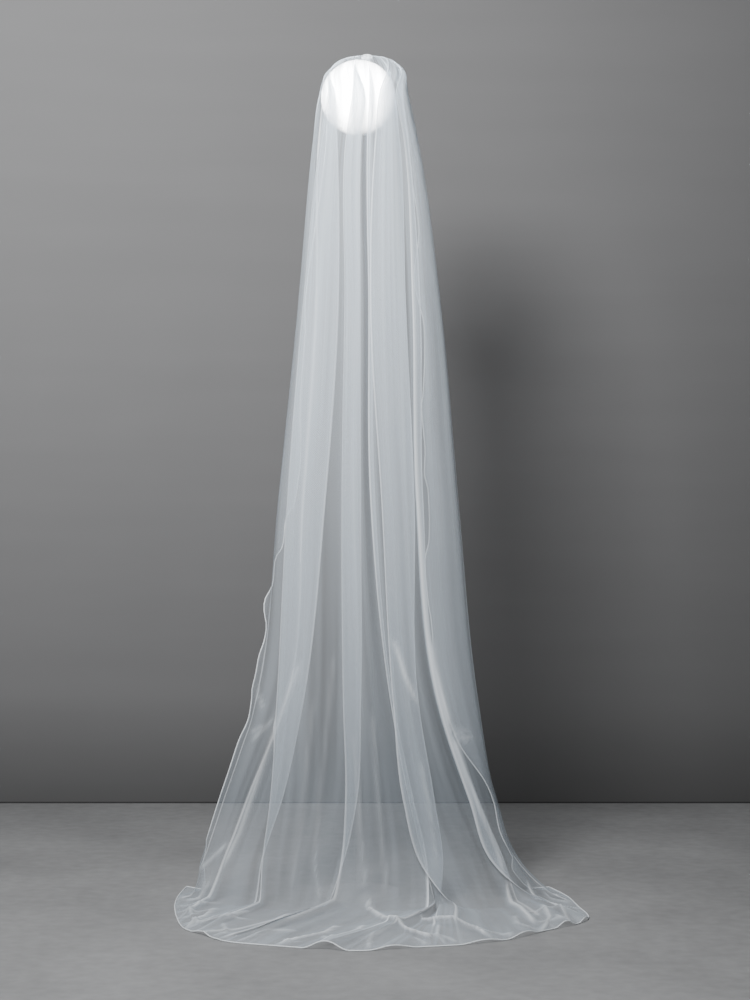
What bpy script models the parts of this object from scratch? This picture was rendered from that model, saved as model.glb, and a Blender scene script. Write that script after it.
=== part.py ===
"""Long bridal veil of sheer tulle, worn on a plain ball on a slim clear stand.

Metres, +Z up. The pole stands on the origin, the cloth falls on the -Y side of the ball and its
train lies on the floor towards -Y. The cloth is one cut, open on the +Y side.
"""
import math
from collections import namedtuple

import bmesh
import bpy
from mathutils import Vector

for old in list(bpy.data.objects):
    bpy.data.objects.remove(old, do_unlink=True)

# Cloth and its edge cord
CLOTH = 0.0015
SEAM = 0.0003
CORD_WIDE = 0.0020
CORD_TALL = 0.0018
CORD_GAP = 0.0004
CORD_FROM_ROW = 3
MITRE_LEAST = 0.6

# Ball, and the cloth's dome over it
HEAD_R = 0.080
HEAD_Z = 1.695
CROWN_TALL = 0.0880
CROWN_X = 0.018
CROWN_SPREAD = 0.8
CROWN_TURN = 134.0

# Gathered lump at the crown
GATHER_WIDE = 0.0141
GATHER_DEEP = 0.0128
GATHER_UP = 0.0065
GATHER_DOWN = 0.0084
GATHER_FLUTES = 9
GATHER_FLUTE_DEEP = 0.10
GATHER_ROUND = 0.7

# Stand
POLE_R = 0.007
FOOT_R = 0.088
FOOT_TALL = 0.010
FOOT_EDGE = 0.002

# How the folds are formed: share by which columns crowd towards a fold, least angle over which the
# cloth passes from one layer to the next, and share of the way over which a floor ridge falls away
FOLD_CROWD = 0.6
LAYER_SPAN = 4.0
RIDGE_REACH = 0.4545

# Train: rows of each half, where its middle line lies between touch and hem, how much of the ridges
# and hem lifts it keeps there, and how softly the hanging cloth turns on to the floor
TRAIN_ROWS = 4
TRAIN_SHARE = 0.52
RIDGE_KEPT = 0.8
LIFT_KEPT = 0.25
TOUCH_SOFT = 0.75

# Facets round the turned bodies
GATHER_SIDES = 36
GATHER_STEPS = 10
HEAD_SIDES = 36
HEAD_STEPS = 20
POLE_SIDES = 24
FOOT_SIDES = 64

# Rings over the ball. Polar: angle down from the crown. Pleat: depth of one layer. Share: how much of
# the folds' turn they have there. Rows: rows of the cloth that lead to it.
Ring = namedtuple("Ring", "name polar pleat share rows")
RINGS = (
    Ring("gather", 5.8, 0.0000, 0.00, 2),
    Ring("cap", 28.0, 0.0010, 0.10, 2),
    Ring("temple", 56.0, 0.0024, 0.55, 2),
)

# Hanging sections: height, left and right edge, front and far depth, depth of one layer, rows above
Section = namedtuple("Section", "name height left right front far pleat rows")
SECTIONS = (
    Section("brow", 1.695, -0.0861, 0.1060, 0.0905, 0.088, 0.0026, 2),
    Section("neck", 1.595, -0.1000, 0.1265, 0.0920, 0.078, 0.0036, 2),
    Section("chest", 1.256, -0.1330, 0.1720, 0.0940, 0.068, 0.0052, 3),
    Section("hip", 0.840, -0.1757, 0.2095, 0.0980, 0.062, 0.0065, 4),
    Section("knee", 0.424, -0.2290, 0.2510, 0.1050, 0.058, 0.0080, 4),
    Section("calf", 0.216, -0.2930, 0.2900, 0.1090, 0.056, 0.0090, 3),
    Section("ankle", 0.090, -0.3340, 0.3310, 0.1230, 0.058, 0.0085, 3),
    Section("touch", 0.000, -0.3660, 0.4250, 0.1750, 0.140, 0.0050, 3),
)

# Fold lines across the cut, from the left selvedge to the right one. Cut: place across the gathered
# edge. Layer: far to near in its pleat. Cols: columns up to the next line. Brow to touch: degrees
# round each section, 0 in front. Ridge: height on the floor. Hem: place along the hem line.
Fold = namedtuple("Fold", "name cut layer cols brow neck chest hip knee calf ankle touch ridge hem")
FOLDS = (
    Fold("selvedge_left", 0.00, 0.0, 3, -131, -132, -118, -122, -92, -92, -100, -112, 0.000, 0.00),
    Fold("outline_left", 0.05, -0.4, 4, -90, -90, -90, -90, -76, -78, -79, -80, 0.004, 0.14),
    Fold("diagonal_left", 0.12, -1.0, 5, -61, -59, -45, -44, -43, -54, -59, -62, 0.012, 0.34),
    Fold("left_back", 0.18, -0.5, 5, -39, -31, -24, -27, -32, -33, -37, -38, 0.010, 0.43),
    Fold("left_front", 0.26, 0.5, 9, -50, -55, -61, -58, -48, -38, -36, -36, 0.014, 0.47),
    Fold("centre_back", 0.42, -0.5, 5, 2, -3, -5, -3, -1, 0, -5, -14, 0.010, 0.56),
    Fold("centre_front", 0.47, 0.5, 7, -13, -20, -18, -15, -10, -5, -6, -12, 0.026, 0.61),
    Fold("middle_back", 0.54, -1.5, 4, 14, 7, 4, 6, 16, 25, 27, 17, 0.006, 0.77),
    Fold("middle_front", 0.56, -0.5, 8, 8, 3, 1, 3, 14, 22, 25, 19, 0.020, 0.82),
    Fold("right_back", 0.66, 0.5, 5, 42, 40, 31, 31, 28, 33, 32, 20, 0.010, 0.97),
    Fold("right_front", 0.74, 1.5, 8, 21, 11, 2, 9, 14, 18, 22, 23, 0.022, 1.03),
    Fold("narrow_back", 0.84, 2.5, 4, 53, 48, 42, 35, 39, 53, 60, 48, 0.008, 1.27),
    Fold("narrow_front", 0.86, 3.5, 6, 41, 40, 33, 29, 35, 46, 50, 54, 0.022, 1.35),
    Fold("outline_right", 0.96, 0.0, 4, 90, 90, 90, 90, 90, 84, 80, 78, 0.006, 1.53),
    Fold("selvedge_right", 1.05, 0.0, 0, 118, 122, 134, 136, 136, 118, 112, 118, 0.000, 1.72),
)

# Hem line on the floor, from the left selvedge round the front to the right one
HEM_LINE = (
    (-0.374, 0.085), (-0.382, -0.020), (-0.379, -0.120), (-0.364, -0.230), (-0.340, -0.330),
    (-0.297, -0.390), (-0.244, -0.450), (-0.151, -0.486), (-0.083, -0.507), (0.007, -0.526),
    (0.097, -0.500), (0.205, -0.474), (0.298, -0.425), (0.376, -0.345), (0.429, -0.300),
    (0.465, -0.233), (0.454, -0.120), (0.442, -0.020), (0.412, 0.080),
)

# Lifts of the hem off the floor
Lift = namedtuple("Lift", "hem half_width height")
HEM_LIFTS = (
    Lift(0.23, 0.050, 0.004), Lift(0.49, 0.040, 0.006), Lift(0.77, 0.045, 0.016),
    Lift(0.90, 0.050, 0.007), Lift(1.08, 0.050, 0.006), Lift(1.18, 0.045, 0.009),
    Lift(1.30, 0.030, 0.012), Lift(1.37, 0.024, 0.009),
)

Column = namedtuple("Column", "angle layer ridge hem")


def mix(a, b, share):
    return a + (b - a) * share


def ease(share):
    share = max(0.0, min(1.0, share))
    return share * share * (3.0 - 2.0 * share)


def curved(a, b, slope_a, slope_b, t):
    """Smooth way from a to b with the slopes at its ends."""
    return ((2 * t**3 - 3 * t**2 + 1) * a + (t**3 - 2 * t**2 + t) * slope_a
            + (3 * t**2 - 2 * t**3) * b + (t**3 - t**2) * slope_b)


def along_hem(place):
    """Point of the hem line at a place measured from the left selvedge."""
    spots = [Vector(spot) for spot in HEM_LINE]
    lengths = [(b - a).length for a, b in zip(spots, spots[1:])]
    place *= sum(lengths) / FOLDS[-1].hem
    for k, length in enumerate(lengths):
        if place <= length or k == len(lengths) - 1:
            a, b = spots[k], spots[k + 1]
            before, after = spots[max(k - 1, 0)], spots[min(k + 2, len(spots) - 1)]
            return curved(a, b, (b - before) / 2, (after - a) / 2, place / length)
        place -= length


def is_turn(k):
    """A pleat's middle layer runs from its back fold to its front fold."""
    return FOLDS[k].name.endswith("_back") and FOLDS[k + 1].name.endswith("_front")


def leaving(fold):
    """Layer in which the cloth leaves a fold line towards the next one."""
    return fold.layer + (0.5 if fold.name.endswith("_front") else 0.0)


def arriving(fold):
    return fold.layer - (0.5 if fold.name.endswith("_back") else 0.0)


def across(turns):
    """Columns of the cloth, fold line by fold line, for the angles of the fold lines."""
    columns = []
    last = len(FOLDS) - 2
    for k in range(last + 1):
        fold, following = FOLDS[k], FOLDS[k + 1]
        a, b = turns[k], turns[k + 1]
        clear_from = turns[k - 1] if k and is_turn(k - 1) else a
        clear_to = turns[k + 2] if k < last and is_turn(k + 1) else b
        span = max(abs(clear_to - clear_from), LAYER_SPAN)
        middle = (clear_from + clear_to) / 2
        for n in range(fold.cols + (k == last)):
            t = n / fold.cols
            folded = (1 - math.cos(math.pi * t)) / 2
            if is_turn(k):
                angle = mix(a, b, folded)
                layer = mix(fold.layer, following.layer, t)
                ridge = mix(fold.ridge, following.ridge, t)
            else:
                angle = mix(a, b, mix(t, folded, FOLD_CROWD))
                gone = ease((angle - middle) / span + 0.5)
                layer = mix(leaving(fold), arriving(following), gone)
                if n == 0:
                    layer = fold.layer
                elif n == fold.cols:
                    layer = following.layer
                ridge = (fold.ridge * max(0.0, 1 - t / RIDGE_REACH)**2
                         + following.ridge * max(0.0, 1 - (1 - t) / RIDGE_REACH)**2)
            columns.append(Column(angle, layer, ridge, mix(fold.hem, following.hem, t)))
    return columns


def ring_points(ring):
    """Points of a ring over the ball."""
    brow = SECTIONS[0]
    whole = FOLDS[-1].cut
    turns = [mix(mix(-CROWN_TURN, CROWN_TURN, fold.cut / whole), fold.brow, ring.share)
             for fold in FOLDS]
    flat, down = math.sin(math.radians(ring.polar)), math.cos(math.radians(ring.polar))
    spread = flat**CROWN_SPREAD
    half = (brow.right - brow.left) / 2
    centre = mix(CROWN_X, (brow.right + brow.left) / 2, spread)
    points = []
    for column in across(turns):
        s, c = math.sin(math.radians(column.angle)), math.cos(math.radians(column.angle))
        deep = brow.front if c > 0 else brow.far
        out = column.layer * ring.pleat
        points.append(Vector((centre + half * spread * s + out * s * flat,
                              -deep * spread * c - out * c * flat,
                              HEAD_Z + CROWN_TALL * down + out * down)))
    return points


def section_points(section):
    """Points of a hanging section."""
    half, centre = (section.right - section.left) / 2, (section.right + section.left) / 2
    points = []
    for column in across([getattr(fold, section.name) for fold in FOLDS]):
        s, c = math.sin(math.radians(column.angle)), math.cos(math.radians(column.angle))
        deep = section.front if c > 0 else section.far
        out = column.layer * section.pleat
        height = section.height or CLOTH / 2 + column.ridge
        points.append(Vector((centre + (half + out) * s, -(deep + out) * c, height)))
    return points


def train_points(touch):
    """Points of the train's middle line and of its hem."""
    middle, end = [], []
    for at, column in zip(touch, across([fold.touch for fold in FOLDS])):
        x, y = along_hem(column.hem)
        lift = sum(lift.height * max(0.0, 1 - ((column.hem - lift.hem) / lift.half_width)**2)**2
                   for lift in HEM_LIFTS)
        end.append(Vector((x, y, CLOTH / 2 + lift)))
        middle.append(Vector((mix(at.x, x, TRAIN_SHARE), mix(at.y, y, TRAIN_SHARE),
                              CLOTH / 2 + column.ridge * RIDGE_KEPT + lift * LIFT_KEPT)))
    return middle, end


def stations():
    """Points of every column at every named height, with the rows that lead to it."""
    found = [(ring_points(ring), ring.rows) for ring in RINGS]
    found += [(section_points(section), section.rows) for section in SECTIONS]
    middle, end = train_points(found[-1][0])
    return found + [(middle, TRAIN_ROWS), (end, TRAIN_ROWS)]


def smooth_rows(found):
    """Rows of the cloth's middle surface, curved smoothly through the stations."""
    floor_from = len(found) - 3
    rows = [found[0][0]]
    for k in range(1, len(found)):
        steps = found[k][1]
        block = [[] for step in range(steps)]
        for column, (a, b) in enumerate(zip(found[k - 1][0], found[k][0])):
            length = (b - a).length
            slope_a = slope_b = (b - a) / length
            if k > 1:
                back = a - found[k - 2][0][column]
                slope_a = (back.normalized() * length + slope_a * back.length) / (length + back.length)
            if k + 1 < len(found):
                ahead = found[k + 1][0][column] - b
                slope_b = (ahead.normalized() * length + slope_b * ahead.length) / (length + ahead.length)
            slope_a, slope_b = slope_a * length, slope_b * length
            if k > floor_from:
                slope_a.z = 0.0
            if k >= floor_from:
                slope_b.z = 0.0
            if k == floor_from:
                slope_b.xy *= TOUCH_SOFT
            for step in range(steps):
                block[step].append(curved(a, b, slope_a, slope_b, (step + 1) / steps))
        rows += block
    return rows


def faces_out(rows):
    """Outward direction of the cloth at each of its points."""
    tall, wide = len(rows), len(rows[0])
    found = []
    for j in range(tall):
        line = []
        for i in range(wide):
            down = rows[min(j + 1, tall - 1)][i] - rows[max(j - 1, 0)][i]
            side = (rows[j][i] - rows[j][max(i - 1, 0)]).normalized()
            side += (rows[j][min(i + 1, wide - 1)] - rows[j][i]).normalized()
            line.append(down.cross(side).normalized())
        found.append(line)
    return found


def on_floor(point):
    return point.x, point.y, max(point.z, 0.0)


def new_piece(name, colour, roughness, alpha=1.0):
    mesh = bpy.data.meshes.new(name)
    piece = bpy.data.objects.new(name, mesh)
    bpy.context.scene.collection.objects.link(piece)
    material = bpy.data.materials.new(name + "_material")
    material.use_nodes = True
    shader = material.node_tree.nodes["Principled BSDF"]
    shader.inputs["Base Color"].default_value = (*colour, 1.0)
    shader.inputs["Roughness"].default_value = roughness
    shader.inputs["Alpha"].default_value = alpha
    mesh.materials.append(material)
    return mesh


def fill(mesh, points, faces, smooth=True):
    mesh.from_pydata(points, [], faces)
    mesh.update()
    shape = bmesh.new()
    shape.from_mesh(mesh)
    bmesh.ops.recalc_face_normals(shape, faces=shape.faces)
    shape.to_mesh(mesh)
    shape.free()
    for face in mesh.polygons:
        face.use_smooth = smooth


def wall(mesh, rows, normals):
    """Closed wall of cloth round the middle surface."""
    tall, wide = len(rows), len(rows[0])
    points, faces = [], []
    for side in (1, -1):
        for j in range(tall):
            for i in range(wide):
                points.append(on_floor(rows[j][i] + normals[j][i] * (side * CLOTH / 2)))

    def at(side, j, i):
        return side * tall * wide + j * wide + i

    for j in range(tall - 1):
        for i in range(wide - 1):
            faces.append((at(0, j, i), at(0, j + 1, i), at(0, j + 1, i + 1), at(0, j, i + 1)))
            faces.append((at(1, j, i), at(1, j, i + 1), at(1, j + 1, i + 1), at(1, j + 1, i)))
    for i in range(wide - 1):
        faces.append((at(0, 0, i), at(0, 0, i + 1), at(1, 0, i + 1), at(1, 0, i)))
        faces.append((at(0, tall - 1, i), at(1, tall - 1, i), at(1, tall - 1, i + 1),
                      at(0, tall - 1, i + 1)))
    for j in range(tall - 1):
        faces.append((at(0, j, 0), at(1, j, 0), at(1, j + 1, 0), at(0, j + 1, 0)))
        faces.append((at(0, j, wide - 1), at(0, j + 1, wide - 1), at(1, j + 1, wide - 1),
                      at(1, j, wide - 1)))
    fill(mesh, points, faces)


def cord(mesh, rows, normals):
    """Edge cord down the left selvedge, along the hem and up the right selvedge."""
    tall, wide = len(rows), len(rows[0])
    path = [(j, 0) for j in range(CORD_FROM_ROW, tall)]
    path += [(tall - 1, i) for i in range(1, wide - 1)]
    path += [(j, wide - 1) for j in range(tall - 1, CORD_FROM_ROW - 1, -1)]
    spots = [rows[j][i] for j, i in path]
    points, faces = [], []
    for k, (j, i) in enumerate(path):
        here, normal = spots[k], normals[j][i]
        come = (here - spots[max(k - 1, 0)]).normalized()
        leave = (spots[min(k + 1, len(spots) - 1)] - here).normalized()
        travel = (come + leave).normalized()
        out = travel.cross(normal).normalized()
        mitre = max(abs(travel.dot(leave)), MITRE_LEAST)
        near = here + out * (CORD_GAP / mitre)
        apart = near + out * (CORD_WIDE / mitre)
        for base, side in ((near, 1), (apart, 1), (apart, -1), (near, -1)):
            points.append(on_floor(base + normal * (side * CORD_TALL / 2)))
    last = 4 * (len(path) - 1)
    for start in range(0, last, 4):
        for side in range(4):
            a, b = start + side, start + (side + 1) % 4
            faces.append((a, b, b + 4, a + 4))
    faces.append((3, 2, 1, 0))
    faces.append(tuple(last + side for side in range(4)))
    fill(mesh, points, faces, smooth=False)


def turned(mesh, profile, sides, wide=1.0, deep=1.0, x=0.0, flutes=0, flute_deep=0.0):
    """Closed body round an upright axis, from radius and height pairs between two poles."""
    points = [(x, 0.0, profile[0][1])]
    faces = []
    for k, (radius, height) in enumerate(profile[1:-1]):
        for n in range(sides):
            angle = 2 * math.pi * n / sides
            reach = radius * (1 - flute_deep * (0.5 + 0.5 * math.cos(angle * flutes + k)))
            points.append((x + reach * wide * math.cos(angle), reach * deep * math.sin(angle), height))
    points.append((x, 0.0, profile[-1][1]))
    rings = len(profile) - 2
    top = 1 + (rings - 1) * sides
    for n in range(sides):
        after = (n + 1) % sides
        faces.append((0, 1 + after, 1 + n))
        for k in range(rings - 1):
            a, b = 1 + k * sides, 1 + (k + 1) * sides
            faces.append((a + n, a + after, b + after, b + n))
        faces.append((top + n, top + after, len(points) - 1))
    fill(mesh, points, faces)


def half_turn(steps):
    """Angles from straight down to straight up."""
    return [math.pi * (step / steps - 0.5) for step in range(steps + 1)]


# Cloth and the cord sewn along its free edges
sheet_rows = smooth_rows(stations())
sheet_out = faces_out(sheet_rows)
wall(new_piece("tulle_panel", (0.86, 0.89, 0.93), 0.75, 0.35), sheet_rows, sheet_out)
cord(new_piece("pencil_edge", (0.93, 0.95, 0.98), 0.60), sheet_rows, sheet_out)

# Gathered and bound top edge of the cloth
gather_z = HEAD_Z + CROWN_TALL * math.cos(math.radians(RINGS[0].polar))
gather_profile = []
for turn in half_turn(GATHER_STEPS):
    rise = GATHER_UP if turn > 0 else GATHER_DOWN
    gather_profile.append((math.cos(turn)**GATHER_ROUND, gather_z + rise * math.sin(turn)))
turned(new_piece("crown_gather", (0.92, 0.93, 0.95), 0.80), gather_profile, GATHER_SIDES,
       GATHER_WIDE, GATHER_DEEP, CROWN_X, GATHER_FLUTES, GATHER_FLUTE_DEEP)

# Ball that the veil is worn on
head_profile = [(HEAD_R * math.cos(turn), HEAD_Z + HEAD_R * math.sin(turn))
                for turn in half_turn(HEAD_STEPS)]
turned(new_piece("head_form", (0.90, 0.90, 0.90), 0.55), head_profile, HEAD_SIDES)

# Stand: the pole's ends stay a seam clear of the foot and the ball
pole_low, pole_top = FOOT_TALL + SEAM, HEAD_Z - HEAD_R - SEAM
turned(new_piece("stand_pole", (0.90, 0.92, 0.94), 0.10, 0.25),
       ((0, pole_low), (POLE_R, pole_low), (POLE_R, pole_top), (0, pole_top)), POLE_SIDES)
turned(new_piece("stand_foot", (0.90, 0.92, 0.94), 0.10, 0.25),
       ((0, 0), (FOOT_R, 0), (FOOT_R, FOOT_TALL - FOOT_EDGE), (FOOT_R - FOOT_EDGE, FOOT_TALL),
        (0, FOOT_TALL)), FOOT_SIDES)
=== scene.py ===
import math

import bmesh
import bpy
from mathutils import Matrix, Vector, noise


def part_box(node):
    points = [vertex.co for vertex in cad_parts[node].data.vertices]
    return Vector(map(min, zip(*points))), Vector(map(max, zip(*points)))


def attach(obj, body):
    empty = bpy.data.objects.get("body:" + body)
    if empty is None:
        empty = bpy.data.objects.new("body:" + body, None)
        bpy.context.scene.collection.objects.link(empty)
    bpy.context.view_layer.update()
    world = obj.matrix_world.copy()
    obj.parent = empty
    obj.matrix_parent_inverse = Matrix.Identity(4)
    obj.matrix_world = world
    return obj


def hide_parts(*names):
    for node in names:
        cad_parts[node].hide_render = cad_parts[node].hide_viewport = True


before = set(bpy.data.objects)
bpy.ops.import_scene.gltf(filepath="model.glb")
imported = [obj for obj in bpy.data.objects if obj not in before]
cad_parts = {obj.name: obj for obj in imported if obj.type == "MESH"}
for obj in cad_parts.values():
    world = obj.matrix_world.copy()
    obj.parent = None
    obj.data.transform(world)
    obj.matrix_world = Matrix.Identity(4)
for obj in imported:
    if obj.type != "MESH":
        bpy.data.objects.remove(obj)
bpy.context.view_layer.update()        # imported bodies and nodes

headLow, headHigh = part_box("head_form")
headCentre = (headLow + headHigh) / 2
headRadius = (headHigh.z - headLow.z) / 2

# The camera stands level in front of the veil, at the height of a person's waist
viewpoint = {"place": (0.035, -4.2, 0.84), "lens": 71.06, "longSide": 36.0}


def makeCamera(values):
    data = bpy.data.cameras.new("frontView")
    data.lens = values["lens"]
    data.sensor_width = values["longSide"]
    camera = bpy.data.objects.new("frontView", data)
    camera.location = values["place"]
    camera.rotation_euler = (math.pi / 2, 0, 0)
    bpy.context.scene.collection.objects.link(camera)
    bpy.context.scene.camera = camera


makeCamera(viewpoint)
print("camera ready")


# Shader maths written as expressions
class Wire:
    def __init__(self, tree, socket=None):
        self.tree = tree
        self.socket = socket

    def add(self, kind, settings, values, output=0):  # any node: its settings first, then its sockets
        node = self.tree.nodes.new(kind)
        for name, value in settings.items():
            setattr(node, name, value)
        for name, value in values.items():
            self.put(node.inputs[name], value)
        return Wire(self.tree, node.outputs[output])

    def put(self, socket, value):
        if isinstance(value, Wire):
            self.tree.links.new(value.socket, socket)
        else:
            socket.default_value = value

    def maths(self, operation, first, second=0.0):
        return self.add("ShaderNodeMath", {"operation": operation}, {0: first, 1: second})

    def __add__(self, other):
        return self.maths("ADD", self, other)

    def __sub__(self, other):
        return self.maths("SUBTRACT", self, other)

    def __rsub__(self, other):
        return self.maths("SUBTRACT", other, self)

    def __mul__(self, other):
        return self.maths("MULTIPLY", self, other)

    def __truediv__(self, other):
        return self.maths("DIVIDE", self, other)

    def __pow__(self, other):
        return self.maths("POWER", self, other)

    def __rpow__(self, other):
        return self.maths("POWER", other, self)

    __radd__ = __add__
    __rmul__ = __mul__

    def least(self, other):
        return self.maths("MINIMUM", self, other)

    def most(self, other):
        return self.maths("MAXIMUM", self, other)

    def cosine(self):
        return self.maths("COSINE", self)

    def part(self, axis):  # one axis of a vector
        return self.add("ShaderNodeSeparateXYZ", {}, {0: self}, "XYZ".index(axis))

    def clouds(self, size, detail, stretch=(1.0, 1.0, 1.0)):  # noise with features of a size in metres
        place = self.add("ShaderNodeMapping", {}, {"Vector": self, "Scale": stretch})
        return self.add("ShaderNodeTexNoise", {}, {"Vector": place, "Scale": 1.0 / size, "Detail": detail})

    def blend(self, first, second):  # a mix of two colours by this value
        return self.add("ShaderNodeMix", {"data_type": "RGBA"}, {0: self, 6: first, 7: second}, 2)

    def bump(self, depth):
        return self.add("ShaderNodeBump", {}, {"Height": self, "Distance": depth, "Strength": 1.0})


def solidColour(colour, shade=1.0):
    return (*[shade * level for level in colour], 1.0)


def newFinish(name, colour, **constants):
    material = bpy.data.materials.new(name)
    material.use_nodes = True
    tree = material.node_tree
    surface = tree.nodes["Principled BSDF"]
    surface.inputs["Base Color"].default_value = solidColour(colour)
    for socket, value in constants.items():
        surface.inputs[socket].default_value = value
    return material, Wire(tree), surface


def overObject(wire):  # places on the piece, in metres
    return wire.add("ShaderNodeTexCoord", {}, {}, 3)


def overPiece(wire, wide, tall):  # the piece's own unwrapping, in metres
    flat = wire.add("ShaderNodeUVMap", {}, {})
    return wire.add("ShaderNodeVectorMath", {"operation": "MULTIPLY"}, {0: flat, 1: (wide, tall, 1.0)})


# Sheer net: more of it is seen where the cloth turns edge on
netFinish = {
    "colour": (0.78, 0.87, 0.95),
    "paintedShade": (0.475, 0.545, 0.615),   # the same, darkened by painted shade where the cloth hangs lowest
    "paintedShadeDeepest": 0.70,        # how far up the cut the painted shade is deepest
    "paintedShadeTrainFade": 0.7,       # how fast the painted shade pales again below that, towards the train
    # painted highlight: the colour that the net whitens to along the crease marks
    "creaseHighlightAndDensity": (0.94, 0.97, 1.00),
    "cover": 0.20,          # share that the threads cover, seen square on
    "mostCover": 0.9,
    "gathered": 1.4,        # how much denser the net is at the crown, where it is drawn together
    "gatheredReach": 0.60,  # length of cloth over which that wears off
    "overBall": 0.20,       # length of cloth over the ball, where the gathers are spread out again
    "slanted": 0.6,         # how much denser it looks when seen aslant, and along its very edge
    "edgeOn": 6.0,
    "crease": 2.6,          # how much denser it is along the creased folds
    "cell": 0.0018,         # width of a hole of the net, and how much the holes show
    "cellShow": 0.12,
    "streak": 0.024,        # width of the soft streaks along the cloth, that width as a share of their
    "streakStretch": 0.03,  # length, and how much they show
    "streakShow": 2.0,
    "fineStreak": 0.007,    # the same for fine ones, which fade towards the train
    "fineStretch": 0.012,
    "fineShow": 1.3,
    "fineOnTrain": 0.25,
    "thinnest": 0.3,        # least density that the streaks leave
    "cloud": 0.16,          # size of soft uneven patches
    "cloudShow": 0.20,
}


def makeNetFinish(values, wide, tall):
    material, wire, surface = newFinish("sheerNet", values["colour"], Roughness=0.8)
    place = overPiece(wire, wide, tall)
    x, y = place.part("X"), place.part("Y")
    turn = 2 * math.pi / values["cell"]   # holes in rows that cross at 60 degrees
    holes = (x * turn).cosine() + ((x * 0.5 + y * 0.866) * turn).cosine()
    holes = holes + ((x * 0.5 - y * 0.866) * turn).cosine()
    net = 1.0 - holes * (values["cellShow"] / 1.5)
    streaks = place.clouds(values["streak"], 1.0, (1.0, values["streakStretch"], 1.0))
    streaks = streaks * values["streakShow"]
    drawn = math.e ** ((y - tall) / values["gatheredReach"])
    fine = place.clouds(values["fineStreak"], 1.0, (1.0, values["fineStretch"], 1.0)) - 0.5
    fine = fine * (drawn + values["fineOnTrain"]) * values["fineShow"]
    streaks = (1.0 + streaks - values["streakShow"] / 2 + fine).most(values["thinnest"])
    clouds = place.clouds(values["cloud"], 2.0)
    uneven = streaks * (1.0 + (clouds - 0.5) * values["cloudShow"])
    gathered = 1.0 + drawn * values["gathered"] * ((tall - y) / values["overBall"]).least(1.0)
    crease = wire.add("ShaderNodeAttribute", {"attribute_name": "crease"}, {}, 2)
    # Painted shade: the colour darkens down the cut to its deepest low on the hanging cloth, and pales
    # again towards the train
    up = (y - values["paintedShadeDeepest"]) / (tall - values["paintedShadeDeepest"])
    spread = up.most(up * -values["paintedShadeTrainFade"])
    spread = spread.blend(solidColour(values["paintedShade"]), solidColour(values["colour"]))
    # painted highlight: whiter colour along the crease marks, which also make the net denser below
    shade = crease.least(1.0).blend(spread, solidColour(values["creaseHighlightAndDensity"]))
    wire.put(surface.inputs["Base Color"], shade)
    creaseHighlightAndDensity = 1.0 + crease * values["crease"]
    facing = wire.add("ShaderNodeLayerWeight", {}, {}, 1)
    aslant = 1.0 + (facing ** 2.0) * values["slanted"] + (facing ** 12.0) * values["edgeOn"]
    closed = (net * uneven * gathered * values["cover"]).least(values["mostCover"])
    wire.put(surface.inputs["Alpha"], 1.0 - (1.0 - closed) ** (aslant * creaseHighlightAndDensity))
    return material


# The cloth's cut and drape, with the same sizes as its solid
crown = {
    "tall": 0.0880,         # height of the cloth's top over the ball's centre
    "x": 0.018,
    "spread": 0.8,          # how soon it widens below its top
    "round": 134.0,         # angle that the cut goes round to at the top, left and right
}
cloth = {
    "wall": 0.0015,
    "trainShare": 0.52,     # where the train's middle line lies between the floor line and the hem
    "trainRows": 4,
    "trainRidge": 0.8,      # share of a floor ridge, and of a lift of the hem, that reaches it
    "trainLift": 0.25,
    "touchSlope": 0.75,     # how far the hanging cloth's slope carries on where it meets the floor
    "finerAcross": 4,       # columns and rows for each one of the solid
    "finerDown": 8,
    "rounds": 2,            # times that the folds' corners are eased
    "clear": 0.0012,        # room between the cloth and the ball
}

# The cloth between two fold lines
laps = {
    "sine": 0.6,            # how much closer its columns stand near the fold lines
    "rolled": 3,            # columns over which it rolls at a fold line
    "narrow": 4.0,          # least angle over which it passes from layer to layer
    "drop": 2.2,            # how soon a floor ridge drops beside its fold line
}

# Rings over the ball: angle down from the crown, depth of the pleats, share of the folds' turn, rows
rings = (
    (5.8, 0.0000, 0.00, 2),
    (28.0, 0.0010, 0.10, 2),
    (56.0, 0.0024, 0.55, 2),
)

# Hanging sections: height, left and right edge, front and far depth, depth of a pleat, rows above
sections = (
    (1.695, -0.0861, 0.1060, 0.0905, 0.088, 0.0026, 2),
    (1.595, -0.1000, 0.1265, 0.0920, 0.078, 0.0036, 2),
    (1.256, -0.1330, 0.1720, 0.0940, 0.068, 0.0052, 3),
    (0.840, -0.1757, 0.2095, 0.0980, 0.062, 0.0065, 4),
    (0.424, -0.2290, 0.2510, 0.1050, 0.058, 0.0080, 4),
    (0.216, -0.2930, 0.2900, 0.1090, 0.056, 0.0090, 3),
    (0.090, -0.3340, 0.3310, 0.1230, 0.058, 0.0085, 3),
    (0.000, -0.3660, 0.4250, 0.1750, 0.140, 0.0050, 3),
)

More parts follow.
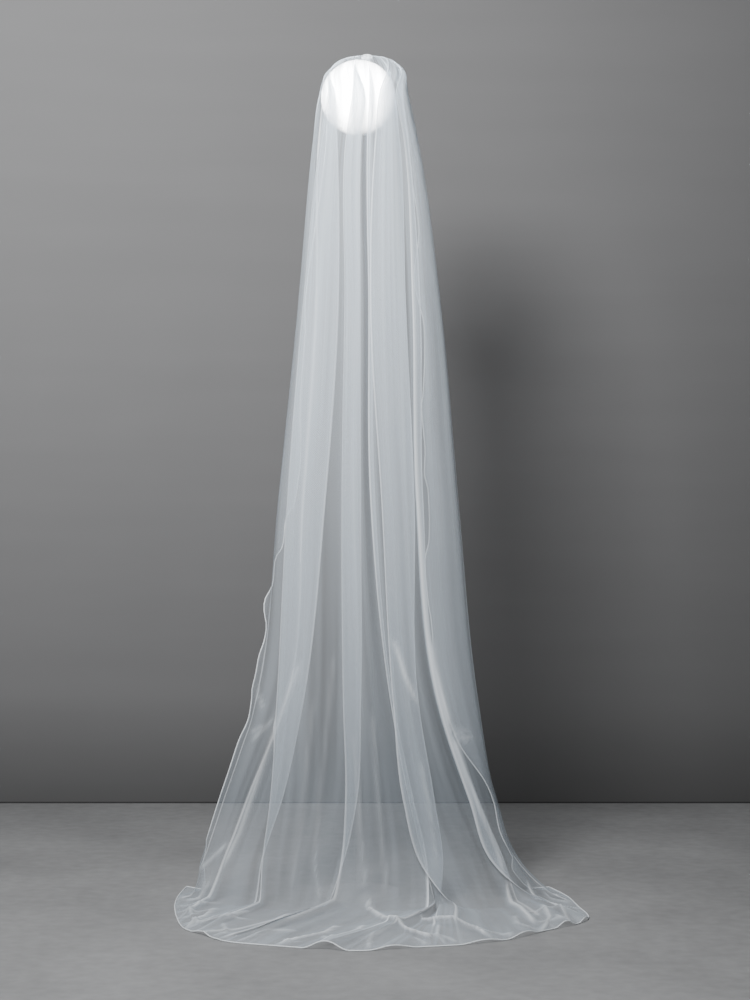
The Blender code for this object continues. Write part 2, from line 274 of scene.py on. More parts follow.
# Fold lines: name, place in the cut, layer, columns, angle at each section, floor ridge, hem place
folds = (
    ("selvedgeLeft", 0.00, 0.0, 3, (-131, -132, -118, -122, -92, -92, -100, -112), 0.000, 0.00),
    ("outlineLeft", 0.05, -0.4, 4, (-90, -90, -90, -90, -76, -78, -79, -80), 0.004, 0.14),
    ("diagonalLeft", 0.12, -1.0, 5, (-61, -59, -45, -44, -43, -54, -59, -62), 0.012, 0.34),
    ("leftBack", 0.18, -0.5, 5, (-39, -31, -24, -27, -32, -33, -37, -38), 0.010, 0.43),
    ("leftFront", 0.26, 0.5, 9, (-50, -55, -61, -58, -48, -38, -36, -36), 0.014, 0.47),
    ("centreBack", 0.42, -0.5, 5, (2, -3, -5, -3, -1, 0, -5, -14), 0.010, 0.56),
    ("centreFront", 0.47, 0.5, 7, (-13, -20, -18, -15, -10, -5, -6, -12), 0.026, 0.61),
    ("middleBack", 0.54, -1.5, 4, (14, 7, 4, 6, 16, 25, 27, 17), 0.006, 0.77),
    ("middleFront", 0.56, -0.5, 8, (8, 3, 1, 3, 14, 22, 25, 19), 0.020, 0.82),
    ("rightBack", 0.66, 0.5, 5, (42, 40, 31, 31, 28, 33, 32, 20), 0.010, 0.97),
    ("rightFront", 0.74, 1.5, 8, (21, 11, 2, 9, 14, 18, 22, 23), 0.022, 1.03),
    ("narrowBack", 0.84, 2.5, 4, (53, 48, 42, 35, 39, 53, 60, 48), 0.008, 1.27),
    ("narrowFront", 0.86, 3.5, 6, (41, 40, 33, 29, 35, 46, 50, 54), 0.022, 1.35),
    ("outlineRight", 0.96, 0.0, 4, (90, 90, 90, 90, 90, 84, 80, 78), 0.006, 1.53),
    ("selvedgeRight", 1.05, 0.0, 0, (118, 122, 134, 136, 136, 118, 112, 118), 0.000, 1.72),
)

# Hem line on the floor, from the left selvedge round the front to the right one
hemLine = (
    (-0.374, 0.085), (-0.382, -0.020), (-0.379, -0.120), (-0.364, -0.230), (-0.340, -0.330),
    (-0.297, -0.390), (-0.244, -0.450), (-0.151, -0.486), (-0.083, -0.507), (0.007, -0.526),
    (0.097, -0.500), (0.205, -0.474), (0.298, -0.425), (0.376, -0.345), (0.429, -0.300),
    (0.465, -0.233), (0.454, -0.120), (0.442, -0.020), (0.412, 0.080),
)

# Lifts of the hem: place along the hem line, half width, height
hemLifts = (
    (0.23, 0.050, 0.004), (0.49, 0.040, 0.006), (0.77, 0.045, 0.016), (0.90, 0.050, 0.007),
    (1.08, 0.050, 0.006), (1.18, 0.045, 0.009), (1.30, 0.030, 0.012), (1.37, 0.024, 0.009),
)

# Gathers: widths of the fine and the broad waves as shares of the cut, and how they drift downwards
waves = {"fine": 0.017, "broad": 0.060, "drift": 0.35, "fineDrift": 3}

# Distance down from the crown, depth of the fine and of the broad waves
waveDepths = (
    (0.00, 0.0000, 0.0000), (0.04, 0.0008, 0.0004), (0.10, 0.0012, 0.0010), (0.20, 0.0013, 0.0016),
    (0.50, 0.0012, 0.0026), (1.00, 0.0008, 0.0034), (1.45, 0.0004, 0.0030), (1.72, 0.0002, 0.0010),
    (2.40, 0.0000, 0.0000),
)

# Wavy rims: columns of cloth that sway with them, and the heights over which that starts and ends
sway = {"leftColumns": 28, "rightColumns": 16, "above": 0.12, "below": 0.05}

# Height, where the rim lies, how far in from the rim it sways, how far forward it curls
leftRim = (
    (1.200, -0.1140, 0.05, 0.000), (1.055, -0.1243, 0.05, 0.000), (0.937, -0.1243, 0.05, 0.000),
    (0.872, -0.1310, 0.05, 0.000), (0.829, -0.1390, 0.04, 0.000), (0.805, -0.1545, 0.04, 0.000),
    (0.741, -0.1630, 0.04, 0.000), (0.715, -0.1780, 0.03, 0.000), (0.657, -0.1846, 0.03, 0.000),
    (0.627, -0.2001, 0.03, 0.000), (0.602, -0.2012, 0.03, 0.004), (0.574, -0.1960, 0.03, 0.010),
    (0.542, -0.2000, 0.03, 0.016), (0.510, -0.2110, 0.03, 0.016), (0.468, -0.2190, 0.03, 0.010),
    (0.440, -0.2260, 0.03, 0.004), (0.414, -0.2278, 0.04, 0.000), (0.372, -0.2352, 0.05, 0.000),
    (0.329, -0.2545, 0.05, 0.000), (0.265, -0.2757, 0.05, 0.000), (0.202, -0.2970, 0.05, 0.000),
    (0.116, -0.3240, 0.05, 0.000),
)
rightRim = (
    (1.406, 0.1297, 0.05, 0.000), (1.314, 0.1190, 0.05, 0.000), (1.271, 0.1276, 0.05, 0.000),
    (1.217, 0.1405, 0.05, 0.000), (1.141, 0.1416, 0.05, 0.000), (1.066, 0.1383, 0.05, 0.000),
    (1.040, 0.1351, 0.05, 0.000), (0.948, 0.1427, 0.05, 0.000), (0.894, 0.1416, 0.05, 0.000),
    (0.861, 0.1491, 0.05, 0.000), (0.754, 0.1513, 0.05, 0.000), (0.711, 0.1427, 0.05, 0.000),
    (0.625, 0.1491, 0.05, 0.000), (0.582, 0.1556, 0.05, 0.000), (0.528, 0.1599, 0.05, 0.000),
    (0.506, 0.1577, 0.05, 0.000), (0.328, 0.2094, 0.05, 0.000), (0.239, 0.2697, 0.05, 0.000),
    (0.194, 0.2890, 0.05, 0.000), (0.132, 0.3020, 0.05, 0.000), (0.074, 0.3300, 0.05, 0.000),
)

# Creases of the hanging cloth: first and last fold line that they lie between, half width, height,
# strength of the painted highlight and denser net along them, and the way that they run, by x and height
hangingCreases = (
    (1, 4, 0.006, 0.004, 0.5, ((-0.119, 0.506), (-0.171, 0.371), (-0.204, 0.273), (-0.248, 0.142),
                               (-0.283, 0.067))),
    (0, 2, 0.004, -0.002, 0.3, ((-0.218, 0.445), (-0.200, 0.400))),
    (0, 2, 0.004, 0.002, 0.3, ((-0.225, 0.331), (-0.173, 0.387))),
    (0, 2, 0.005, -0.002, 0.2, ((-0.231, 0.350), (-0.190, 0.371))),
    (0, 3, 0.006, 0.004, 0.4, ((-0.270, 0.123), (-0.310, 0.082), (-0.341, 0.051))),
    (9, 11, 0.004, 0.002, 0.5, ((0.066, 0.549), (0.077, 0.539), (0.097, 0.477), (0.124, 0.414))),
    (11, 14, 0.005, 0.003, 0.5, ((0.149, 0.549), (0.158, 0.497), (0.170, 0.445), (0.185, 0.393),
                                 (0.193, 0.362))),
    (11, 14, 0.006, 0.004, 0.5, ((0.197, 0.352), (0.224, 0.269), (0.253, 0.196), (0.288, 0.113),
                                 (0.305, 0.061))),
    (11, 14, 0.004, -0.002, 0.3, ((0.197, 0.352), (0.240, 0.345))),
    (11, 14, 0.004, 0.002, 0.3, ((0.185, 0.368), (0.230, 0.333))),
    (11, 14, 0.005, 0.005, 0.6, ((0.220, 0.119), (0.268, 0.067), (0.315, 0.020))),
    (6, 8, 0.005, 0.003, 0.2, ((-0.010, 0.360), (0.006, 0.150), (0.016, 0.030))),
    (6, 8, 0.005, 0.003, 0.2, ((0.030, 0.400), (0.047, 0.144), (0.058, 0.057), (0.046, 0.020))),
    (8, 10, 0.006, 0.004, 0.3, ((0.090, 0.160), (0.102, 0.082), (0.115, 0.012))),
    (3, 5, 0.006, 0.003, 0.2, ((-0.092, 0.430), (-0.118, 0.180), (-0.140, 0.030))),
    (3, 5, 0.006, 0.003, 0.2, ((-0.050, 0.520), (-0.078, 0.240), (-0.090, 0.090), (-0.078, 0.010))),
    (11, 13, 0.008, 0.004, 0.2, ((0.175, 0.250), (0.205, 0.140), (0.240, 0.060))),
    (10, 12, 0.008, 0.004, 0.2, ((0.130, 0.300), (0.150, 0.180), (0.165, 0.070))),
)

# Folds of the train on the floor: the same, with how far the fold lies over to its left or right,
# and the way that it runs by x and y
trainFolds = (
    (3, 8, 0.011, 0.011, 0.9, -0.020,
     ((-0.078, -0.165), (-0.126, -0.271), (-0.204, -0.370), (-0.262, -0.425))),
    (5, 9, 0.008, 0.010, 0.9, 0.006,
     ((0.020, -0.150), (0.042, -0.215), (0.070, -0.300), (0.110, -0.385), (0.160, -0.455))),
    (7, 11, 0.008, 0.008, 0.8, 0.006,
     ((0.125, -0.250), (0.150, -0.290), (0.200, -0.330), (0.240, -0.385), (0.256, -0.440))),
    (10, 14, 0.010, 0.009, 0.8, 0.014, ((0.331, -0.040), (0.379, -0.085), (0.450, -0.226))),
    (10, 14, 0.007, 0.008, 0.9, 0.005, ((0.300, -0.060), (0.335, -0.175), (0.353, -0.310))),
    (0, 4, 0.006, 0.004, 0.5, 0.003, ((-0.370, -0.190), (-0.325, -0.195), (-0.290, -0.160))),
    (0, 4, 0.006, 0.004, 0.6, -0.004, ((-0.335, -0.340), (-0.310, -0.250), (-0.290, -0.140))),
    (0, 3, 0.006, 0.004, 0.5, 0.003, ((-0.372, -0.080), (-0.340, -0.065), (-0.315, -0.030))),
    (2, 6, 0.006, 0.004, 0.7, 0.004,
     ((-0.300, -0.395), (-0.230, -0.345), (-0.165, -0.270), (-0.140, -0.200))),
    (2, 5, 0.006, 0.004, 0.5, 0.003, ((-0.335, -0.310), (-0.260, -0.270), (-0.215, -0.200))),
    (4, 7, 0.006, 0.005, 0.8, -0.004,
     ((-0.150, -0.480), (-0.110, -0.430), (-0.060, -0.380), (-0.035, -0.310))),
    (4, 8, 0.006, 0.005, 0.7, 0.003,
     ((-0.075, -0.505), (-0.035, -0.450), (0.000, -0.385), (0.010, -0.310))),
    (10, 14, 0.006, 0.004, 0.6, 0.003, ((0.355, -0.370), (0.380, -0.270), (0.375, -0.180))),
    (11, 14, 0.006, 0.004, 0.6, -0.003, ((0.425, -0.305), (0.415, -0.220), (0.400, -0.130))),
    (11, 14, 0.006, 0.004, 0.4, 0.003, ((0.450, -0.110), (0.410, -0.070), (0.385, -0.030))),
    (1, 3, 0.006, 0.004, 0.4, 0.003, ((-0.345, -0.150), (-0.325, -0.260), (-0.300, -0.340))),
)

# Small puckers that run in from the hem
puckers = {
    "count": 26,
    "first": 0.12,          # where they start and end along the hem
    "last": 1.60,
    "inset": 0.006,         # clear strip beside the hem
    "long": 0.080,
    "slant": 0.6,
    "bow": 0.4,             # share of the slant at the middle of their length
    "uneven": 0.6,          # how far their spacing and length vary
    "width": 0.0050,
    "high": 0.0030,
    # strength of the painted highlight and denser net along them
    "highlightDensityMark": 0.40,
}


def mix(a, b, share):
    return a + (b - a) * share


def ease(share):
    share = max(0.0, min(1.0, share))
    return share * share * (3.0 - 2.0 * share)


def curved(a, b, slopeA, slopeB, t):  # smooth way from a to b, with the slopes at its ends
    return ((2 * t**3 - 3 * t**2 + 1) * a + (t**3 - 2 * t**2 + t) * slopeA
            + (3 * t**2 - 2 * t**3) * b + (t**3 - t**2) * slopeB)


def fromTable(table, place):  # values of a table, read smoothly at a place in its first column
    for k in range(len(table) - 1):
        low, high = table[k], table[k + 1]
        if place <= high[0] or k == len(table) - 2:
            before, after = table[max(k - 1, 0)], table[min(k + 2, len(table) - 1)]
            step = high[0] - low[0]
            share = max(0.0, min(1.0, (place - low[0]) / step))
            return [curved(low[n], high[n], (high[n] - before[n]) * step / (high[0] - before[0]),
                           (after[n] - low[n]) * step / (after[0] - low[0]), share)
                    for n in range(1, len(low))]


def alongHem(place):  # the hem line's point at a place along it
    lengths = [math.dist(a, b) for a, b in zip(hemLine, hemLine[1:])]
    place = place * sum(lengths) / folds[-1][6]
    for k, length in enumerate(lengths):
        if place <= length or k == len(lengths) - 1:
            a, b = hemLine[k], hemLine[k + 1]
            before = hemLine[max(k - 1, 0)]
            after = hemLine[min(k + 2, len(hemLine) - 1)]
            return [curved(a[n], b[n], (b[n] - before[n]) / 2, (after[n] - a[n]) / 2, place / length)
                    for n in (0, 1)]
        place -= length


def isTurn(k):  # a pleat's turn, from its back line out to its front line
    return folds[k][0].endswith("Back") and folds[k + 1][0].endswith("Front")


def leaving(k):  # layer just after a fold line
    return folds[k][2] + 0.5 * folds[k][0].endswith("Front")


def arriving(k):  # layer just before a fold line
    return folds[k][2] - 0.5 * folds[k][0].endswith("Back")


def acrossCut(turns):  # angle, layer, floor ridge and hem place of each column
    columns = []
    last = len(folds) - 2
    for k in range(last + 1):
        lay, count, ridgeHere, hemHere = (folds[k][n] for n in (2, 3, 5, 6))
        layNext, ridgeNext, hemNext = (folds[k + 1][n] for n in (2, 5, 6))
        count *= cloth["finerAcross"]
        a, b = turns[k], turns[k + 1]
        clearFrom = turns[k - 1] if k and isTurn(k - 1) else a
        clearTo = turns[k + 2] if k < last and isTurn(k + 1) else b
        for n in range(count + (k == last)):
            t = n / count
            folded = (1 - math.cos(math.pi * t)) / 2
            if isTurn(k):
                angle = mix(a, b, folded)
                layer = mix(lay, layNext, t)
                ridge = mix(ridgeHere, ridgeNext, t)
            else:
                angle = mix(a, b, mix(t, folded, laps["sine"]))
                low, high = sorted((clearFrom, clearTo))
                gone = ease((angle - (low + high) / 2) / max(high - low, laps["narrow"]) + 0.5)
                layer = mix(leaving(k), arriving(k + 1), gone)
                rolled = min(1.0, min(n, count - n) / laps["rolled"])
                layer = mix(lay if t < 0.5 else layNext, layer, ease(rolled))
                ridge = ridgeHere * max(0.0, 1 - laps["drop"] * t)**2
                ridge += ridgeNext * max(0.0, laps["drop"] * t - laps["drop"] + 1)**2
            columns.append((angle, layer, ridge, mix(hemHere, hemNext, t)))
    return columns


def sectionPoints():  # points of every column at every named height, with the rows that lead there
    found = []
    browLeft, browRight, browFront, browFar = sections[0][1:5]
    half, middle = (browRight - browLeft) / 2, (browRight + browLeft) / 2
    whole = folds[-1][1]
    for polar, pleat, share, rows in rings:
        turns = [mix(mix(-crown["round"], crown["round"], fold[1] / whole), fold[4][0], share)
                 for fold in folds]
        flat, down = math.sin(math.radians(polar)), math.cos(math.radians(polar))
        spread = flat**crown["spread"]
        centre = mix(crown["x"], middle, spread)
        points = []
        for angle, layer, ridge, hem in acrossCut(turns):
            s, c = math.sin(math.radians(angle)), math.cos(math.radians(angle))
            out = layer * pleat
            points.append((centre + half * spread * s + out * s * flat,
                           -(browFront if c > 0 else browFar) * spread * c - out * c * flat,
                           headCentre.z + crown["tall"] * down + out * down))
        found.append((points, rows))
    for place, (tall, left, right, front, far, pleat, rows) in enumerate(sections):
        half, centre = (right - left) / 2, (right + left) / 2
        points = []
        for angle, layer, ridge, hem in acrossCut([fold[4][place] for fold in folds]):
            s, c = math.sin(math.radians(angle)), math.cos(math.radians(angle))
            out = layer * pleat
            height = tall or cloth["wall"] / 2 + ridge
            points.append((centre + (half + out) * s, -((front if c > 0 else far) + out) * c, height))
        found.append((points, rows))
    touch = found[-1][0]
    train, end = [], []
    for at, (angle, layer, ridge, hem) in zip(touch, acrossCut([fold[4][-1] for fold in folds])):
        x, y = alongHem(hem)
        lift = sum(tall * max(0.0, 1 - ((hem - spot) / wide)**2)**2 for spot, wide, tall in hemLifts)
        end.append((x, y, cloth["wall"] / 2 + lift))
        train.append((mix(at[0], x, cloth["trainShare"]), mix(at[1], y, cloth["trainShare"]),
                      cloth["wall"] / 2 + ridge * cloth["trainRidge"] + lift * cloth["trainLift"]))
    return found + [(train, cloth["trainRows"]), (end, cloth["trainRows"])]


def drapedRows():  # rows of the cloth's surface, curved smoothly through the sections
    found = sectionPoints()
    floorFrom = len(found) - 3
    rows = [[Vector(p) for p in found[0][0]]]
    for k in range(1, len(found)):
        steps = found[k][1] * cloth["finerDown"]
        block = [[] for n in range(steps)]
        for column, (a, b) in enumerate(zip(found[k - 1][0], found[k][0])):
            a, b = Vector(a), Vector(b)
            length = (b - a).length
            slopeA = slopeB = (b - a) / length
            if k > 1:
                before = Vector(found[k - 2][0][column])
                back = (a - before).length
                slopeA = ((a - before) / back * length + slopeA * back) / (length + back)
            if k + 1 < len(found):
                after = Vector(found[k + 1][0][column])
                ahead = (after - b).length
                slopeB = ((after - b) / ahead * length + slopeB * ahead) / (length + ahead)
            slopeA, slopeB = slopeA * length, slopeB * length
            if k > floorFrom:
                slopeA.z = 0.0
            if k >= floorFrom:
                slopeB.z = 0.0
            if k == floorFrom:
                slopeB.x *= cloth["touchSlope"]
                slopeB.y *= cloth["touchSlope"]
            for n in range(steps):
                block[n].append(curved(a, b, slopeA, slopeB, (n + 1) / steps))
        rows += block
    return rows


def facesOut(rows):  # outward direction of the cloth at each of its points
    tall, wide = len(rows), len(rows[0])
    found = []
    for j in range(tall):
        above, below = rows[max(j - 1, 0)], rows[min(j + 1, tall - 1)]
        line = []
        for i in range(wide):
            side = rows[j][min(i + 1, wide - 1)] - rows[j][max(i - 1, 0)]
            line.append((below[i] - above[i]).cross(side).normalized())
        found.append(line)
    return found


def roundedFolds(rows, times):  # eases the folds' corners, edges kept
    for step in range(times):
        inner = [[(line[i - 1] + line[i] * 2 + line[i + 1]) / 4 for i in range(1, len(line) - 1)]
                 for line in rows]
        rows = [[line[0]] + between + [line[-1]] for line, between in zip(rows, inner)]
    return rows


def gathered(rows):  # fine gathers from the crown that open out into broad soft waves
    out = facesOut(rows)
    down = 0.0
    for j, line in enumerate(rows):
        if j:
            down += sum((a - b).length for a, b in zip(line, rows[j - 1])) / len(line)
        fineDepth, broadDepth = fromTable(waveDepths, down)
        drift = down * waves["drift"]
        for i in range(len(line)):
            place = i / (len(line) - 1) * folds[-1][1]
            fine = noise.noise(Vector((place / waves["fine"], drift * waves["fineDrift"], 3.0)))
            broad = noise.noise(Vector((place / waves["broad"], drift, 9.0)))
            line[i] = line[i] + out[j][i] * (fine * fineDepth * 2 + broad * broadDepth * 2)
    return rows


def swayed(rows, rim, columns):  # moves a rim to its wavy line, and the cloth beside it with it
    tops, lows = rim[0][0], rim[-1][0]
    rising = [list(step) for step in reversed(rim)]
    for line in rows:
        height = line[columns[0]].z
        fade = ease((tops + sway["above"] - height) / sway["above"])
        fade *= ease((height - lows + sway["below"]) / sway["below"])
        if not fade:
            continue
        place, reach, forward = fromTable(rising, min(max(height, lows), tops))
        shift = place - line[columns[0]].x
        away = 0.0
        for count, i in enumerate(columns):
            if count:
                away += (line[i] - last).length
            last = line[i].copy()
            share = max(0.0, 1 - away / reach)**1.5 * fade
            line[i] = line[i] + Vector((shift * share, -forward * share, 0.0))
    return rows


def columnStarts():  # column of each fold line
    starts = [0]
    for fold in folds[:-1]:
        starts.append(starts[-1] + fold[3] * cloth["finerAcross"])
    return starts


# How a crease is pressed in
pressing = {
    "reach": 2.5,           # how far out from its way it is felt, in half widths
    "top": 1.4,             # how round its top is
    "line": 0.0035,         # half width of the painted highlight and denser net along it, and of the fainter glow of both beside that
    "glow": 0.0077,
    "lineShow": 0.65,
    "glowShow": 0.35,
    "endFade": 0.04,        # length over which it fades at each end, and how much of it is left there
    "ends": 0.25,
    "floorTop": 0.06,       # cloth above this height is out of reach of a fold of the train
    "floorFade": 0.045,
}


def beside(spot, way, reach):  # distance from a way, how far from its ends, and the way to its right
    nearest, along, done, right = reach, 0.0, 0.0, Vector((0, 0))
    for a, b in zip(way, way[1:]):
        length = (b - a).length
        share = max(0.0, min(1.0, (spot - a).dot(b - a) / length**2))
        away = (spot - a - (b - a) * share).length
        if away < nearest:
            nearest, along = away, done + share * length
            right = Vector(((b - a).y, (a - b).x)) / length
        done += length
    return nearest, min(along, done - along) / min(pressing["endFade"], done / 3), right


def pressed(rows, marks, creases, onFloor):  # ridges and troughs, and how sharp they are
    starts = columnStarts()
    out = facesOut(rows)
    for first, last, width, height, highlightDensityMark, lean, way in creases:
        reach = pressing["reach"] * width
        way = [Vector(spot) for spot in way]
        low = [min(spot[n] for spot in way) - reach for n in (0, 1)]
        high = [max(spot[n] for spot in way) + reach for n in (0, 1)]
        for j, line in enumerate(rows):
            for i in range(starts[first], starts[last] + 1):
                spot = Vector((line[i].x, line[i].y if onFloor else line[i].z))
                if (not low[0] < spot.x < high[0] or not low[1] < spot.y < high[1]
                        or onFloor and line[i].z > pressing["floorTop"]):
                    continue
                nearest, fromEnd, right = beside(spot, way, reach)
                if nearest >= reach:
                    continue
                fade = ease(fromEnd + pressing["ends"])
                push = out[j][i] * height
                if onFloor:
                    fade *= ease((pressing["floorTop"] - line[i].z) / pressing["floorFade"])
                    push = Vector((right.x * lean, right.y * lean, height))
                line[i] = line[i] + push * (math.exp(-(nearest / width)**pressing["top"]) * fade)
                # marks for the painted highlight and denser net along the crease
                bright = pressing["lineShow"] * math.exp(-(nearest / pressing["line"])**2)
                bright += pressing["glowShow"] * math.exp(-(nearest / pressing["glow"])**2)
                marks[j][i] = max(marks[j][i], highlightDensityMark * bright * fade)
    return rows


def hemPuckers(values):  # their spacing, slant and length follow three sine waves that don't meet
    creases = []
    for k in range(values["count"]):
        share = (k + 0.5 + values["uneven"] * math.sin(2.3 * k)) / values["count"]
        start = Vector(alongHem(mix(values["first"], values["last"], share)))
        inward = (Vector((headCentre.x, headCentre.y)) - start).normalized()
        across = Vector((-inward.y, inward.x)) * values["slant"] * math.sin(2.9 * k)
        long = values["long"] * (1.0 + values["uneven"] * math.sin(1.7 * k + 1.0))
        start += inward * values["inset"]
        middle = start + (inward + across * values["bow"]) * long * 0.5
        way = (start, middle, start + (inward + across) * long)
        creases.append((0, len(folds) - 1, values["width"], values["high"], values["highlightDensityMark"], 0.0, way))
    return creases


# How strongly the fold lines are marked with a painted highlight and denser net
foldShow = {
    "most": 0.8,
    "first": 0.06,          # share of the rows above the place where they start, and over which they grow
    "grows": 0.12,
    "rowsAbove": 4,         # rows above the train where they start to fade, and rows that it takes
    "fadeRows": 8,
    "lostOnTrain": 0.75,
}


def foldMarks(rows):  # painted highlight and denser net along each fold line, and half as much beside it
    marks = [[0.0] * len(rows[0]) for line in rows]
    fadeFrom = len(rows) - cloth["trainRows"] * cloth["finerDown"] - foldShow["rowsAbove"]
    for column in columnStarts()[1:-1]:
        for j in range(len(rows)):
            share = ease((j / len(rows) - foldShow["first"]) / foldShow["grows"])
            share *= 1.0 - foldShow["lostOnTrain"] * ease((j - fadeFrom) / foldShow["fadeRows"])
            for aside, level in ((-1, 0.5), (0, 1.0), (1, 0.5)):
                i = column + aside
                marks[j][i] = max(marks[j][i], level * share * foldShow["most"])
    return marks


def clearOfHead(rows, gap):  # and no lower than the floor
    for line in rows:
        for i, point in enumerate(line):
            away = point - headCentre
            if away.length < headRadius + gap:
                line[i] = headCentre + away.normalized() * (headRadius + gap)
            if line[i].z < cloth["wall"] / 2:
                line[i].z = cloth["wall"] / 2
    return rows


def finished(name, shape, smooth=True):
    mesh = bpy.data.meshes.new(name)
    for face in shape.faces:
        face.smooth = smooth
    shape.to_mesh(mesh)
    shape.free()
    piece = bpy.data.objects.new(name, mesh)
    bpy.context.scene.collection.objects.link(piece)
    return piece


def makeNet():
    rows = gathered(roundedFolds(drapedRows(), cloth["rounds"]))
    tall, wide = len(rows), len(rows[0])
    rows = swayed(rows, leftRim, range(sway["leftColumns"]))
    rows = swayed(rows, rightRim, range(wide - 1, wide - 1 - sway["rightColumns"], -1))
    marks = foldMarks(rows)
    rows = pressed(rows, marks, [(*mark[:5], 0.0, mark[5]) for mark in hangingCreases], False)
    rows = pressed(rows, marks, trainFolds, True)
    rows = pressed(rows, marks, hemPuckers(puckers), True)
    rows = clearOfHead(rows, cloth["clear"])
    shape = bmesh.new()
    shape.loops.layers.uv.new("flatCut")
    # marks that whiten the net's colour as a painted highlight and make it denser
    highlightDensityMark = shape.verts.layers.float.new("crease")
    bmesh.ops.create_grid(shape, x_segments=wide - 1, y_segments=tall - 1, size=0.5, calc_uvs=True)
    ordered = sorted(shape.verts, key=lambda v: (-round(v.co.y, 6), round(v.co.x, 6)))
    for n, vert in enumerate(ordered):
        vert.co = rows[n // wide][n % wide]
        vert[highlightDensityMark] = marks[n // wide][n % wide]
    bmesh.ops.reverse_faces(shape, faces=shape.faces)
    return finished("bridalNet", shape), rows


net, netRows = makeNet()
netArea = sum(face.area for face in net.data.polygons)
print("net draped:", len(net.data.polygons) * 2, "triangles,", round(netArea, 3), "square metres")
cut = {"wide": 1.30, "long": 2.20, "area": 2.35}   # rounded at the lower corners
net.data.materials.append(makeNetFinish(netFinish, cut["wide"], cut["long"]))
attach(net, "root")
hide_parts("tulle_panel")


# Pencil edge: a thin cord sewn over both selvedges and the hem
edge = {
    "thick": 0.0024,
    "fromRow": 18,          # row of the net, over the ball, where it comes out of the gathers
    "colour": (0.80, 0.84, 0.87),
    "shaded": 0.84,         # painted shade in the low places of the thread bump, as a share of that colour
    "stitch": 0.0012,
    "rise": 0.0002,
}


def edgePath(rows, start):  # down one selvedge, round the hem and up the other
    last = len(rows) - 1
    path = [rows[j][0] for j in range(start, last)]
    path += rows[last]
    path += [rows[j][-1] for j in range(last - 1, start - 1, -1)]
    return path


def makeEdge(values, rows):
    curve = bpy.data.curves.new("pencilEdge", "CURVE")
    curve.dimensions = "3D"
    curve.bevel_depth = values["thick"] / 2
    curve.bevel_resolution = 2
    curve.use_fill_caps = True
    path = edgePath(rows, values["fromRow"])
    line = curve.splines.new("POLY")
    line.points.add(len(path) - 1)
    for point, place in zip(line.points, path):
        point.co = (place.x, place.y, max(place.z, values["thick"] / 2), 1.0)
    piece = bpy.data.objects.new("pencilEdge", curve)
    bpy.context.scene.collection.objects.link(piece)
    return piece


def makeEdgeFinish(values):
    material, wire, surface = newFinish("edgeThread", values["colour"], Roughness=0.6)
    threads = overObject(wire).clouds(values["stitch"], 1.0)
    # painted shade: darker where the bump's noise is low
    shade = threads.blend(solidColour(values["colour"], values["shaded"]), solidColour(values["colour"]))
    wire.put(surface.inputs["Base Color"], shade)
    wire.put(surface.inputs["Normal"], threads.bump(values["rise"]))
    return material


pencilEdge = makeEdge(edge, netRows)
pencilEdge.data.materials.append(makeEdgeFinish(edge))
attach(pencilEdge, "root")
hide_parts("pencil_edge")
print("pencil edge sewn")


# Gathered lump at the crown, drawn up and bound
gather = {
    "flutes": 23,
    "deep": 0.16,           # depth of a flute, and of the uneven dents, as shares of its size
    "dented": 0.12,
    "wander": 2.4,          # how far the flutes leave their even spacing, and lean
    "twist": 1.2,
    "sides": 138,
    "rings": 40,
    "colour": (0.86, 0.89, 0.92),
    # painted shade in the low places of the thread bump, as a share of the colour
    "shaded": 0.88,
    "thread": 0.0016,
    "rise": 0.0003,
}
gatherLow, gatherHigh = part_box("crown_gather")


def makeGather(values, low, high):
    centre, half = (low + high) / 2, (high - low) / 2
    shape = bmesh.new()
    bmesh.ops.create_uvsphere(shape, u_segments=values["sides"], v_segments=values["rings"], radius=1.0)
    for vert in shape.verts:
        turn = math.atan2(vert.co.y, vert.co.x)
        flat = math.hypot(vert.co.x, vert.co.y)
        wander = values["wander"] * noise.noise(vert.co * 1.6)
        pucker = math.cos(turn * values["flutes"] + wander + vert.co.z * values["twist"])
        uneven = noise.noise(vert.co * 2.2 + Vector((0, 0, 5)))
        reach = 1 - values["deep"] * (0.5 - 0.5 * pucker) * flat - values["dented"] * (0.5 - 0.5 * uneven)
        vert.co = centre + Vector((vert.co.x * half.x, vert.co.y * half.y, vert.co.z * half.z)) * reach
    return finished("crownGather", shape)


def makeGatherFinish(values):
    material, wire, surface = newFinish("gatheredNet", values["colour"], Roughness=0.85)
    threads = overObject(wire).clouds(values["thread"], 2.0)
    # painted shade: darker where the bump's noise is low
    shade = threads.blend(solidColour(values["colour"], values["shaded"]), solidColour(values["colour"]))
    wire.put(surface.inputs["Base Color"], shade)
    wire.put(surface.inputs["Normal"], threads.bump(values["rise"]))
    return material


crownGather = makeGather(gather, gatherLow, gatherHigh)
crownGather.data.materials.append(makeGatherFinish(gather))
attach(crownGather, "root")
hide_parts("crown_gather")
print("crown gathered")


# Plain white ball, with soft dents low on its left
ball = {
    "colour": (0.97, 0.97, 0.97),
    "worn": (-0.68, -0.62, -0.40),   # way from its centre to the dented side
    "wornFrom": 0.55,       # cosine of the angle from there where the dents end, and how softly
    "wornFade": 0.35,
    "dent": 0.0016,
    "dentSize": 0.018,
    "swell": 0.0003,        # soft unevenness all over
    "swellSize": 0.03,
    "sides": 160,
    "rings": 90,
    # faint grey marks at random over the ball: their colour and size
    "markGrey": (0.80, 0.79, 0.76),
    "greyMarkSize": 0.022,
    "greyMarkFrom": 0.52,       # level of the noise where a mark starts, and how fast it deepens
    "greyMarkShow": 2.2,
    "grain": 0.004,
    "rise": 0.0004,
}


